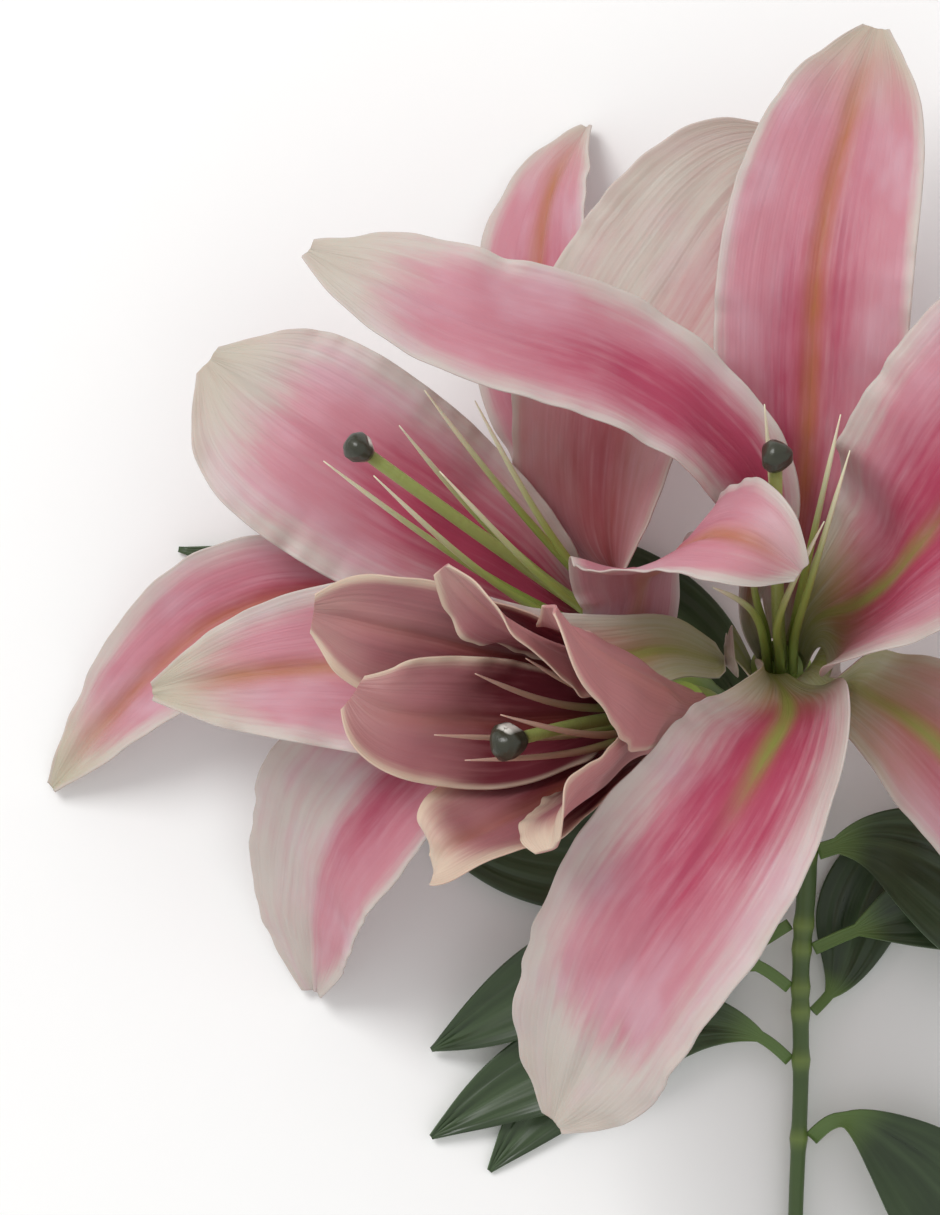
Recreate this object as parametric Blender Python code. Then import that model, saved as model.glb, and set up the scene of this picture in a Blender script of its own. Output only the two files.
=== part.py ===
"""A cut lily stem with three flowers and nine leaves, lying on its side.

The stem lies along +Y with its cut end at the -Y end. Two flowers are wide open, and the one between them is
a half-open trumpet. Every petal, filament, pistil, leaf and stalk is a closed solid of its own. The bottom
centre of the box round them all is the origin.
"""

from typing import NamedTuple

import bpy
import numpy as np
from mathutils import Matrix

MM = 0.001

# Every point below is in millimetres from the centre of the stem's cut end: X across the stem, Y along it
# and Z up from the surface that it lies on.
STEM_LINE = (
    (0, 0, 1.5),
    (1, 60, 1.8),
    (0, 110, 2.4),
    (0, 140, 3),
    (1, 171, 5),
    (1, 192, 7),
    (2, 208, 9),
    (1, 226, 12),
)
STEM_RADII = (1.5, 1.4, 1.4, 1.4, 1.5, 1.6, 1.8, 2.4)
STEM_STEPS = 22
STEM_SIDES = 8

# A stalk joins the stem's top to a flower and widens into the receptacle that the petals stand on.
STALK_RADIUS = 1.9
STALK_GAP = 3.4
STALK_STEPS = 12
STALK_SIDES = 10
RECEPTACLE_RADIUS = 6.2
RECEPTACLE_LENGTH = 6

# How far a flower's parts stand clear of its receptacle, so that no two solids touch.
SEAT_GAP = 0.4


class Flower(NamedTuple):
    """The receptacle's centre, the way the flower faces, two points its stalk passes through, how far its
    petals lean out in their first 12 mm, and how open it is: 1 for flat out, 0 for a closed bud."""

    base: tuple
    axis: tuple
    stalk: tuple
    lean: float
    openness: float


FLOWERS = {
    "right": Flower((-4, 252, 32), (-0.05, 0.46, 0.88), ((1.5, 232, 15), (-1, 241, 23)), 4.0, 1.0),
    "left": Flower((-29, 254, 20), (-0.63, 0.42, 0.656), ((-4, 234, 9), (-14, 244, 9)), 4.0, 1.0),
    "middle": Flower((-24, 243, 52), (-0.64, -0.05, 0.77), ((-4, 229, 20), (-12, 235, 36)), 3.0, 0.35),
}

# Rings of parts on the receptacle, from the flower's axis outwards.
PISTIL_RADIUS = 1.3
PISTIL_NECK = 25
PISTIL_SIDES = 8
FILAMENT_RING = 2.9
FILAMENT_RADIUS = 1.0
FILAMENT_TIP_RADIUS = 0.45
FILAMENT_STEPS = 7
FILAMENT_SIDES = 5
PETAL_RING = {"inner": 4.7, "outer": 6.5}

# A petal rises this far before it turns outwards, and is bent into this arc across its base.
PETAL_NECK = 12
PETAL_BASE_ARC = {"inner": 90, "outer": 45}
PETAL_THICKNESS = 0.9
PETAL_LENGTH_STEPS = 12
PETAL_WIDTH_STEPS = 6
# Rows of a petal crowd towards its tip by this power, which keeps the tip's outline round.
TIP_CROWDING = 1.25
# Shares of the length at which a petal's arc and its twist are given. Each starts from its base's value.
ARC_SHARES = (0, 0.1, 0.25, 0.5, 1)
TWIST_SHARES = (0, 0.25, 0.5, 1)

# Share of the full width at shares of the length.
PETAL_OUTLINES = {
    "inner": (
        (0, 0.16), (0.12, 0.24), (0.28, 0.56), (0.45, 0.88), (0.6, 1), (0.78, 0.86), (0.92, 0.5), (1, 0.12),
    ),
    "outer": (
        (0, 0.16), (0.12, 0.22), (0.28, 0.46), (0.45, 0.8), (0.6, 1), (0.78, 0.84), (0.92, 0.46), (1, 0.1),
    ),
    "broad": (
        (0, 0.17), (0.12, 0.34), (0.25, 0.66), (0.4, 0.92), (0.6, 1), (0.78, 0.88), (0.92, 0.54), (1, 0.14),
    ),
    "blunt": (
        (0, 0.16), (0.12, 0.24), (0.28, 0.56), (0.45, 0.86), (0.65, 1), (0.78, 0.97), (0.9, 0.72), (1, 0.16),
    ),
    "eared": (
        (0, 0.16), (0.12, 0.28), (0.2, 0.62), (0.28, 0.8), (0.42, 0.88),
        (0.6, 1), (0.78, 0.9), (0.92, 0.56), (1, 0.14),
    ),
    "lobed": (
        (0, 0.16), (0.12, 0.24), (0.28, 0.56), (0.45, 0.86), (0.62, 1), (0.8, 0.94), (0.92, 0.7), (1, 0.3),
    ),
}


class Petal(NamedTuple):
    """One petal. clock is where it stands round its flower's axis, in degrees clockwise from the top. midrib
    lists the points that its middle line passes through beyond its neck. arc and twist are in degrees, at
    ARC_SHARES and TWIST_SHARES after the first. ruffle is the height of the waves in its edge, and waves how
    many there are along it."""

    flower: str
    ring: str
    outline: str
    clock: float
    width: float
    ruffle: float
    waves: float
    arc: tuple
    twist: tuple
    midrib: tuple


OPEN_ARC = (38, 55, 40, 30)
FLAT = (0, 0, 0)

PETALS = {
    "right_petal_lower": Petal(
        "right", "inner", "eared", 192, 46, 2, 2.5, (110, 110, 50, 20), FLAT,
        (
            (-4, 246, 55), (-7, 237, 74), (-13, 227, 86), (-23, 212, 91), (-35, 194, 86), (-43, 177, 72),
            (-50, 161, 56),
        ),
    ),
    "right_petal_upper_right": Petal(
        "right", "inner", "eared", 60, 57, 2, 2, (70, 110, 60, 30), (-3, -3, 0),
        ((9, 264, 52), (18, 271, 68), (28, 285, 82), (42, 303, 88), (56, 318, 82), (71, 331, 70)),
    ),
    "right_petal_upper_left": Petal(
        "right", "inner", "blunt", 310, 29, 1, 2, (70, 70, 40, 20), FLAT,
        ((-8, 280, 54), (-19, 299, 73), (-41, 313, 82), (-64, 320, 85), (-82, 328, 82), (-99, 335, 73)),
    ),
    "right_petal_top": Petal(
        "right", "outer", "broad", 10, 40, 0.8, 2, OPEN_ARC, FLAT,
        ((-2, 270, 42), (0, 286, 50), (1, 309, 58), (3, 336, 60), (8, 358, 51), (15, 381, 38)),
    ),
    "right_petal_lower_right": Petal(
        "right", "outer", "broad", 124, 38, 0.8, 2, OPEN_ARC, FLAT,
        ((12, 247, 50), (20, 242, 53), (35, 228, 49), (51, 214, 29), (67, 204, 2.5)),
    ),
    "right_petal_left": Petal(
        "right", "outer", "outer", 262, 36, 0.8, 2, (38, 50, 30, 20), (-10, -25, -20),
        (
            (-15, 253, 39), (-24, 255, 43), (-35, 254, 47), (-62, 250, 54), (-87, 252, 54),
            (-109, 251, 50), (-131, 247, 41),
        ),
    ),
    "left_petal_left": Petal(
        "left", "inner", "blunt", 298, 44, 1.5, 2, (64, 80, 30, 20), FLAT,
        (
            (-46, 264, 26), (-58, 272, 33), (-73, 281, 39), (-93, 294, 42), (-109, 305, 38),
            (-120, 314, 31),
        ),
    ),
    "left_petal_upper_right": Petal(
        "left", "inner", "eared", 55, 47, 1.5, 2, (64, 70, 50, 30), (0, 20, 30),
        ((-37, 271, 35), (-40, 287, 40), (-36, 311, 43), (-24, 333, 42), (-12, 349, 38), (0, 358, 34)),
    ),
    "left_petal_lower": Petal(
        "left", "inner", "inner", 195, 40, 1, 2, (64, 80, 50, 30), (0, -25, -25),
        ((-46, 255, 33), (-58, 247, 36), (-74, 238, 38), (-90, 224, 34), (-98, 208, 20), (-99, 185, 3)),
    ),
    "left_petal_top": Petal(
        "left", "outer", "outer", 348, 32, 0.8, 2, OPEN_ARC, FLAT,
        ((-41, 272, 24), (-47, 290, 21), (-52, 310, 20), (-53, 333, 17), (-50, 351, 10), (-43, 363, 2)),
    ),
    "left_petal_front": Petal(
        "left", "outer", "broad", 130, 33, 0.8, 2, (38, 50, 50, 30), (-45, -60, 0),
        ((-33, 267, 46), (-30, 272, 70), (-20, 278, 88), (-11.5, 277, 95), (-2, 271, 93)),
    ),
    "left_petal_lower_left": Petal(
        "left", "outer", "outer", 248, 28, 0.8, 2, OPEN_ARC, (0, -25, -20),
        (
            (-50, 259, 25), (-63, 262, 25), (-86, 266, 28), (-110, 265, 26), (-132, 251, 15),
            (-153, 227, 2),
        ),
    ),
    "middle_petal_left": Petal(
        "middle", "inner", "lobed", 265, 28, 1, 2, (80, 110, 80, 50), FLAT,
        ((-43, 242, 62), (-58, 241, 71), (-74, 242, 81), (-85, 244, 84), (-90, 247, 83)),
    ),
    "middle_petal_upper_left": Petal(
        "middle", "outer", "lobed", 318, 30, 0.5, 2, (45, 70, 60, 30), FLAT,
        ((-43, 251, 63), (-58, 254, 71), (-76, 258, 78), (-89, 261, 80), (-98, 263, 79)),
    ),
    "middle_petal_top": Petal(
        "middle", "inner", "lobed", 25, 26, 0.5, 2, (80, 110, 90, 50), (-15, -18, -10),
        ((-35, 250, 69), (-47, 255, 83), (-58, 259, 93), (-67, 267, 97), (-72, 272, 98)),
    ),
    "middle_petal_lower": Petal(
        "middle", "outer", "lobed", 205, 28, 1, 2, (45, 80, 70, 40), FLAT,
        ((-40, 232, 64), (-54, 225, 75), (-65, 220, 84), (-72, 216, 88), (-74, 212, 85)),
    ),
    "middle_petal_right": Petal(
        "middle", "outer", "lobed", 75, 31, 0.5, 2, (45, 95, 95, 50), FLAT,
        ((-27, 246, 73), (-34, 250, 89), (-41, 254, 100), (-47, 258, 107), (-51, 264, 110)),
    ),
    "middle_petal_lower_right": Petal(
        "middle", "inner", "lobed", 140, 27, 1, 2, (80, 110, 80, 50), FLAT,
        ((-33, 236, 70), (-41, 230, 86), (-47, 226, 95), (-51, 221, 101), (-51, 217, 103)),
    ),
}

# The point that each pistil and each filament ends at. Filaments start 60 degrees apart, from the top.
PISTIL_TIPS = {"right": (-7, 296, 95), "left": (-91, 297, 82), "middle": (-62, 237, 98)}
STIGMA_RADIUS = {"right": 3.4, "left": 3.2, "middle": 4.0}
# The stigma's radius at shares of its own length.
STIGMA_OUTLINE = ((0.12, 0.66), (0.35, 0.95), (0.65, 0.95), (0.9, 0.6), (1, 0.2))
FILAMENT_TIPS = {
    "right": ((-9, 304, 88), (6, 302, 88), (8, 295, 84), (3, 281, 82), (-19, 268, 78), (-10, 281, 69)),
    "left": ((-76, 307, 78), (-66, 305, 74), (-73, 291, 74), (-86, 290, 84), (-96, 293, 77), (-81, 300, 78)),
    "middle": (
        (-56, 254, 88), (-46, 250, 90), (-61, 243, 100),
        (-68, 234, 94), (-74, 239, 96), (-66, 251, 92),
    ),
}
FILAMENT_SPACING = 60

LEAF_THICKNESS = 0.8
LEAF_LENGTH_STEPS = 10
LEAF_WIDTH_STEPS = 4
LEAF_STALK_WIDTH = 2.4
LEAF_OUTLINE = ((0, 0.12), (0.15, 0.55), (0.35, 0.95), (0.5, 1), (0.7, 0.8), (0.88, 0.4), (1, 0.04))


class Leaf(NamedTuple):
    """A leaf's width, the share of its length that is stalk, its arc across in degrees and its midrib."""

    width: float
    stalk_share: float
    arc: float
    midrib: tuple


LEAVES = {
    "leaf_low_right": Leaf(
        26, 0.12, 60,
        ((3.3, 155, 4), (9, 159, 9), (19, 154, 10), (32, 141, 7), (43, 124, 3), (49, 106, 1)),
    ),
    "leaf_low_left": Leaf(
        20, 0.1, 40,
        ((-1.4, 171, 5), (-6, 175, 7), (-20, 179, 7), (-40, 174, 6), (-59, 165, 4), (-75, 155, 2)),
    ),
    "leaf_mid_left": Leaf(
        20, 0.1, 40,
        ((-1.5, 186, 7), (-7, 190, 9), (-24, 193, 14), (-44, 190, 13), (-61, 181, 9), (-75, 173, 3)),
    ),
    "leaf_under_left": Leaf(
        20, 0.1, 15,
        ((-1.4, 199, 7), (-9, 194, 4), (-28, 181, 2), (-46, 167, 2), (-63, 148, 1)),
    ),
    "leaf_mid_right": Leaf(
        22, 0.15, 50,
        ((3.6, 194, 8), (10, 197, 10), (21, 201, 12), (33, 204, 11), (52, 203, 7), (65, 198, 3)),
    ),
    "leaf_under_right": Leaf(
        18, 0.1, 20,
        ((3.5, 181, 6), (8, 186, 3.5), (13, 201, 2), (19, 213, 2), (28, 224, 1.5)),
    ),
    "leaf_high_right": Leaf(
        28, 0.05, 40,
        ((4.4, 214, 11), (12, 216, 14), (25, 213, 19), (40, 203, 17), (54, 190, 9), (64, 176, 2)),
    ),
    "leaf_high_left": Leaf(
        24, 0.05, 30,
        ((-1.8, 222, 10), (-12, 218, 6), (-32, 214, 4), (-53, 214, 4), (-69, 219, 3), (-80, 226, 2)),
    ),
    "leaf_far_left": Leaf(
        20, 0.05, 15,
        (
            (-3, 229, 7), (-9, 243, 3.5), (-20, 259, 2), (-40, 269, 2),
            (-71, 271, 2), (-102, 272, 2), (-127, 276, 1.5),
        ),
    ),
}

STEM_GREEN = (0.07, 0.14, 0.05)
LEAF_GREEN = (0.03, 0.06, 0.025)
OPEN_PINK = (0.62, 0.2, 0.25)
TRUMPET_WINE = (0.45, 0.12, 0.14)
FILAMENT_GREEN = (0.5, 0.55, 0.3)
STIGMA_BROWN = (0.03, 0.03, 0.025)
SATIN = 0.45


def unit(vector):
    """The vector at length 1, for one vector or for each row of them."""
    vector = np.asarray(vector, float)
    return vector / np.linalg.norm(vector, axis=-1, keepdims=True)


def spline(knots, values, at):
    """A natural cubic spline through values at knots, read at each place in at."""
    knots = np.asarray(knots, float)
    values = np.asarray(values, float).reshape(len(knots), -1)
    steps = np.diff(knots)
    slopes = np.diff(values, axis=0) / steps[:, None]
    count = len(knots)
    system = np.eye(count)
    right = np.zeros_like(values)
    for i in range(1, count - 1):
        system[i, i - 1 : i + 2] = steps[i - 1], 2 * (steps[i - 1] + steps[i]), steps[i]
        right[i] = 6 * (slopes[i] - slopes[i - 1])
    bends = np.linalg.solve(system, right)
    at = np.asarray(at, float)
    span = np.clip(np.searchsorted(knots, at, side="right") - 1, 0, count - 2)
    step = steps[span][:, None]
    before = (at - knots[span])[:, None]
    after = step - before
    curve = (bends[span] * after**3 + bends[span + 1] * before**3) / (6 * step)
    curve += (values[span] / step - bends[span] * step / 6) * after
    curve += (values[span + 1] / step - bends[span + 1] * step / 6) * before
    return curve


def distances(points):
    """How far along a line of points each of them is."""
    steps = np.linalg.norm(np.diff(points, axis=0), axis=1)
    return np.concatenate([[0], np.cumsum(steps)])


def line_through(points, shares):
    """Places on a smooth curve through the points, at shares of its length, and its direction at each."""
    points = np.asarray(points, float)
    knots = distances(points)
    fine = spline(knots, points, np.linspace(0, knots[-1], 400))
    lengths = distances(fine)
    lengths /= lengths[-1]
    tangents = unit(np.gradient(fine, axis=0))
    places = np.stack([np.interp(shares, lengths, column) for column in fine.T], axis=-1)
    directions = np.stack([np.interp(shares, lengths, column) for column in tangents.T], axis=-1)
    return places, unit(directions)


def profile(outline, shares):
    """An outline's width share at each share of the length, smooth and never below the narrower end's."""
    at, width = np.asarray(outline, float).T
    return np.maximum(spline(at, width, shares)[:, 0], min(width))


def flower_frame(flower):
    """The flower's axis, and the directions of twelve and three o'clock round it."""
    axis = unit(flower.axis)
    top = unit(np.array((0, 1, 0)) - axis[1] * axis)
    return axis, top, np.cross(top, axis)


def seat(flower, clock, radius):
    """A point just above the receptacle, radius from its centre, and its direction from the axis."""
    axis, top, side = flower_frame(flower)
    angle = np.radians(clock)
    outward = np.cos(angle) * top + np.sin(angle) * side
    return np.asarray(flower.base, float) + outward * radius + axis * SEAT_GAP, outward


def sheet_points(places, directions, facing, half_width, arc, twist, across, ripple):
    """Rows of points across a curved sheet: one row for each place, bent into an arc that faces `facing`."""
    normal = unit(facing - np.sum(facing * directions, axis=1, keepdims=True) * directions)
    side = np.cross(directions, normal)
    turn = np.radians(twist)[:, None]
    turned_normal = normal * np.cos(turn) + side * np.sin(turn)
    turned_side = side * np.cos(turn) - normal * np.sin(turn)
    arc = np.radians(arc)[:, None]
    radius = half_width[:, None] * 2 / arc
    angle = arc / 2 * across
    sideways = radius * np.sin(angle)
    upwards = radius * (1 - np.cos(angle)) + ripple
    moved = turned_side[:, None] * sideways[..., None] + turned_normal[:, None] * upwards[..., None]
    return places[:, None] + moved


def add_object(name, vertices, faces, colour):
    """A smooth mesh object, from vertices in millimetres, with a material of its own."""
    mesh = bpy.data.meshes.new(name)
    mesh.from_pydata([tuple(vertex * MM) for vertex in vertices], [], faces)
    mesh.shade_smooth()
    material = bpy.data.materials.new(name)
    material.use_nodes = True
    shader = material.node_tree.nodes["Principled BSDF"]
    shader.inputs["Base Color"].default_value = (*colour, 1)
    shader.inputs["Roughness"].default_value = SATIN
    mesh.materials.append(material)
    bpy.context.scene.collection.objects.link(bpy.data.objects.new(name, mesh))


def add_sheet(name, points, thickness, colour):
    """A grid of points made into a sheet of that thickness, closed round its edge."""
    along = np.gradient(points, axis=0)
    across = np.gradient(points, axis=1)
    half = unit(np.cross(along, across)) * thickness / 2
    vertices = np.concatenate([(points - half).reshape(-1, 3), (points + half).reshape(-1, 3)])
    rows, columns = points.shape[:2]
    index = np.arange(rows * columns).reshape(rows, columns)
    back = rows * columns
    faces = []
    quads = np.stack([index[:-1, :-1], index[:-1, 1:], index[1:, 1:], index[1:, :-1]], axis=-1)
    for corners in quads.reshape(-1, 4):
        faces.append(tuple(corners))
        faces.append(tuple(corners[::-1] + back))
    rim = np.concatenate([index[0, :-1], index[:-1, -1], index[-1, :0:-1], index[:0:-1, 0]])
    for here, following in zip(rim, np.roll(rim, -1)):
        faces.append((following, here, here + back, following + back))
    add_object(name, vertices, faces, colour)


def add_tube(name, places, directions, radii, sides, colour):
    """A round tube with flat ends."""
    guide = np.array((0.0, 0.0, 1.0)) if abs(directions[0][2]) < 0.8 else np.array((1.0, 0.0, 0.0))
    angles = np.linspace(0, 2 * np.pi, sides, endpoint=False)[:, None]
    rings = []
    for place, direction, radius in zip(places, directions, radii):
        guide = unit(guide - np.dot(guide, direction) * direction)
        other = np.cross(direction, guide)
        rings.append(place + radius * (np.cos(angles) * guide + np.sin(angles) * other))
    faces = []
    for start in range(0, (len(rings) - 1) * sides, sides):
        for k in range(sides):
            following = start + (k + 1) % sides
            faces.append((start + k, following, following + sides, start + k + sides))
    faces.append(tuple(range(sides - 1, -1, -1)))
    faces.append(tuple(range((len(rings) - 1) * sides, len(rings) * sides)))
    add_object(name, np.concatenate(rings), faces, colour)


def facing_axis(flower, places, shares):
    """The way that a petal's inner side faces: towards the flower's axis low down, along it further out."""
    axis = flower_frame(flower)[0]
    from_base = places - np.asarray(flower.base, float)
    inward = -unit(from_base - (from_base @ axis)[:, None] * axis)
    opening = flower.openness * np.clip((shares - 0.15) / 0.3, 0, 1)[:, None]
    return inward * (1 - opening) + axis * opening


def add_petal(name, petal):
    flower = FLOWERS[petal.flower]
    axis = flower_frame(flower)[0]
    base, outward = seat(flower, petal.clock, PETAL_RING[petal.ring])
    neck = base + axis * PETAL_NECK + outward * flower.lean
    shares = 1 - (1 - np.linspace(0, 1, PETAL_LENGTH_STEPS + 1)) ** TIP_CROWDING
    places, directions = line_through((base, neck, *petal.midrib), shares)
    half_width = petal.width / 2 * profile(PETAL_OUTLINES[petal.outline], shares)
    arc = np.interp(shares, ARC_SHARES, (PETAL_BASE_ARC[petal.ring], *petal.arc))
    twist = np.interp(shares, TWIST_SHARES, (0, *petal.twist))
    across = np.linspace(-1, 1, PETAL_WIDTH_STEPS + 1)
    wave = petal.ruffle * np.sin(2 * np.pi * petal.waves * shares) * np.clip(shares * 2, 0, 1)
    ripple = wave[:, None] * across**3
    facing = facing_axis(flower, places, shares)
    points = sheet_points(places, directions, facing, half_width, arc, twist, across, ripple)
    colour = TRUMPET_WINE if petal.flower == "middle" else OPEN_PINK
    add_sheet(name, points, PETAL_THICKNESS, colour)


def add_leaf(name, leaf):
    shares = np.linspace(0, 1, LEAF_LENGTH_STEPS + 1)
    places, directions = line_through(leaf.midrib, shares)
    blade = np.clip((shares - leaf.stalk_share) / (1 - leaf.stalk_share), 0, 1)
    width = np.maximum(leaf.width * profile(LEAF_OUTLINE, blade), LEAF_STALK_WIDTH * (shares < 0.5))
    upwards = np.tile((0.0, 0.0, 1.0), (len(shares), 1))
    arc = np.full(len(shares), leaf.arc)
    across = np.linspace(-1, 1, LEAF_WIDTH_STEPS + 1)
    points = sheet_points(places, directions, upwards, width / 2, arc, 0 * shares, across, 0)
    add_sheet(name, points, LEAF_THICKNESS, LEAF_GREEN)


def add_stem():
    shares = np.linspace(0, 1, STEM_STEPS + 1)
    places, directions = line_through(STEM_LINE, shares)
    radii = np.interp(shares, np.linspace(0, 1, len(STEM_RADII)), STEM_RADII)
    add_tube("stem", places, directions, radii, STEM_SIDES, STEM_GREEN)


def add_stalk(name, flower):
    start = np.asarray(STEM_LINE[-1], float)
    start = start + unit(flower.stalk[0] - start) * STALK_GAP
    axis = unit(flower.axis)
    shares = np.linspace(0, 1, STALK_STEPS + 1)
    line = (start, *flower.stalk, flower.base - axis * RECEPTACLE_LENGTH, flower.base)
    places, directions = line_through(line, shares)
    directions[-1] = axis
    widening = (STALK_RADIUS, STALK_RADIUS, RECEPTACLE_RADIUS - 1.5, RECEPTACLE_RADIUS)
    radii = np.interp(shares, (0, 0.6, 0.9, 1), widening)
    add_tube(name, places, directions, radii, STALK_SIDES, STEM_GREEN)


def add_filament(name, flower, clock, tip):
    axis = flower_frame(flower)[0]
    base, outward = seat(flower, clock, FILAMENT_RING)
    line = (base, base + axis * 14 + outward * 0.6, base + axis * 28 + outward * 2.5, tip)
    shares = np.linspace(0, 1, FILAMENT_STEPS + 1)
    places, directions = line_through(line, shares)
    radii = np.interp(shares, (0, 0.5, 1), (FILAMENT_RADIUS, FILAMENT_RADIUS * 0.8, FILAMENT_TIP_RADIUS))
    add_tube(name, places, directions, radii, FILAMENT_SIDES, FILAMENT_GREEN)


def add_pistil(name, flower, tip, stigma_radius):
    """A thin style that ends in a round stigma."""
    axis = flower_frame(flower)[0]
    base = seat(flower, 0, 0)[0]
    line = np.array((base, base + axis * PISTIL_NECK, tip))
    style_end = 1 - 2 * stigma_radius / distances(line)[-1]
    at, share = np.array(STIGMA_OUTLINE).T
    shares = np.concatenate([np.linspace(0, style_end, 8), style_end + (1 - style_end) * at])
    places, directions = line_through(line, shares)
    radii = np.concatenate([np.full(8, PISTIL_RADIUS), stigma_radius * share])
    add_tube(name, places, directions, radii, PISTIL_SIDES, STIGMA_BROWN)


def add_flower(name, flower):
    add_stalk(f"stalk_{name}", flower)
    add_pistil(f"{name}_pistil", flower, PISTIL_TIPS[name], STIGMA_RADIUS[name])
    for number, tip in enumerate(FILAMENT_TIPS[name]):
        add_filament(f"{name}_filament_{number + 1}", flower, FILAMENT_SPACING * number, tip)


def centre_on_origin():
    """Moves every mesh so that the box round them all has its bottom centre at the origin."""
    points = np.array([vertex.co for thing in bpy.data.objects for vertex in thing.data.vertices])
    low, high = points.min(axis=0), points.max(axis=0)
    middle = (low + high) / 2
    for thing in bpy.data.objects:
        thing.data.transform(Matrix.Translation((-middle[0], -middle[1], -low[2])))


def main():
    for thing in list(bpy.data.objects):
        bpy.data.objects.remove(thing, do_unlink=True)
    add_stem()
    for name, flower in FLOWERS.items():
        add_flower(name, flower)
    for name, petal in PETALS.items():
        add_petal(name, petal)
    for name, leaf in LEAVES.items():
        add_leaf(name, leaf)
    centre_on_origin()


main()
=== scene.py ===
"""Cut lily: two open flowers, a half-open trumpet, their stamens, nine leaves and a stem, on a pale floor.

Run as a script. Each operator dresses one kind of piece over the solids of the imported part.
"""

from functools import partial
from typing import NamedTuple

import bpy
import numpy as np
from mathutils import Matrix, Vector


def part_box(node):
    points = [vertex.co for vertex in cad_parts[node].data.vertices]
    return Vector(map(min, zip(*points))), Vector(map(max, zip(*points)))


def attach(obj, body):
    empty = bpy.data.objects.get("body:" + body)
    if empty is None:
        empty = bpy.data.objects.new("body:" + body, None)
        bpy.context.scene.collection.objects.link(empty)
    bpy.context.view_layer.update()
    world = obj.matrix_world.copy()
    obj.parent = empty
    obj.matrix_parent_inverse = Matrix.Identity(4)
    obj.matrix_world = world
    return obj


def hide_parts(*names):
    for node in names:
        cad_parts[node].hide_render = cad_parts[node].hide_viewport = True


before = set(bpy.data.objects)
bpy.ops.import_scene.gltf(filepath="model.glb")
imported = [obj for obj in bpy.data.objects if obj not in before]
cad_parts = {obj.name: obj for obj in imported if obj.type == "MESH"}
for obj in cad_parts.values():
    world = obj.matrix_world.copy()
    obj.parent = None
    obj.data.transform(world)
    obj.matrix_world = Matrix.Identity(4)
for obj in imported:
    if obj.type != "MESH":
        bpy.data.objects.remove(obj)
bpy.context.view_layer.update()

bl_info = {
    "name": "Cut Lily",
    "version": (1, 0, 0),
    "blender": (4, 5, 0),
    "location": "3D View > Sidebar > Lily",
    "description": "Builds the petals, stamens, leaves and stem of a cut lily",
    "category": "Object",
}

MM = 0.001

# Points are in millimetres from the centre of the stem's cut end: X across, Y along the stem, Z up from the
# floor. CUT_END is that centre in the frame, found from the stem's own solid.
STEM_LINE = (
    (0, 0, 1.5),
    (1, 60, 1.8),
    (0, 110, 2.4),
    (0, 140, 3),
    (1, 171, 5),
    (1, 192, 7),
    (2, 208, 9),
    (1, 226, 12),
)
STEM_RADII = (1.5, 1.4, 1.4, 1.4, 1.5, 1.6, 1.8, 2.4)
STEM_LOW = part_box("stem")[0]
# The stem leans a little, so its box starts up to this far before the centre of the cut.
CUT_LEAN = 0.1
CUT_END = np.array((STEM_LOW.x + STEM_RADII[0] * MM, STEM_LOW.y + CUT_LEAN * MM, STEM_LOW.z))

COLLAR_HEIGHT, COLLAR_WIDTH = 0.35, 1.6

# A stalk's radius at shares of its length, with the receptacle as its last part.
STALK_WIDENING = ((0, 1.9), (0.6, 1.9), (0.9, 4.7), (1, 6.2))
RECEPTACLE_LENGTH = 6
# The gaps under the stem, from its end to a stalk, and from a receptacle to what grows on it.
FLOOR_GAP, STALK_GAP, SEAT_GAP = 0.02, 3.4, 0.4


class Flower(NamedTuple):
    """The receptacle's centre, the way the flower faces, two points its stalk passes through, how far its
    petals lean out along their necks, and how open it is: 1 for flat out, 0 for a closed bud."""

    base: tuple
    axis: tuple
    stalk: tuple
    lean: float
    openness: float


FLOWERS = {
    "right": Flower((-4, 252, 32), (-0.05, 0.46, 0.88), ((1.5, 232, 15), (-1, 241, 23)), 4.0, 1.0),
    "left": Flower((-29, 254, 20), (-0.63, 0.42, 0.656), ((-4, 234, 9), (-14, 244, 9)), 4.0, 1.0),
    "middle": Flower((-24, 243, 52), (-0.64, -0.05, 0.77), ((-4, 229, 20), (-12, 235, 36)), 3.0, 0.35),
}

# How many steps each piece has along it, and across or round it.
STEM_ROWS, STEM_SIDES = 180, 28
STALK_ROWS = 48
FILAMENT_ROWS, FILAMENT_SIDES = 40, 14
STYLE_ROWS, STIGMA_ROWS, PISTIL_SIDES = 30, 20, 24
LEAF_ROWS, LEAF_COLUMNS = 80, 30
PETAL_ROWS, PETAL_COLUMNS = 110, 40
# A petal's rows crowd towards its tip, and its columns towards its edges, where the waves are.
TIP_CROWDING = 1.25
EDGE_CROWDING = 1.3
CURVE_POINTS = 400

# How far from the flower's axis each ring of petals stands, how long a neck is, and its arc in degrees.
PETAL_RING = {"inner": 4.7, "outer": 6.5}
PETAL_NECK = 12
PETAL_BASE_ARC = {"inner": 90, "outer": 45}
ARC_SHARES = (0, 0.1, 0.25, 0.5, 1)
TWIST_SHARES = (0, 0.25, 0.5, 1)

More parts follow.
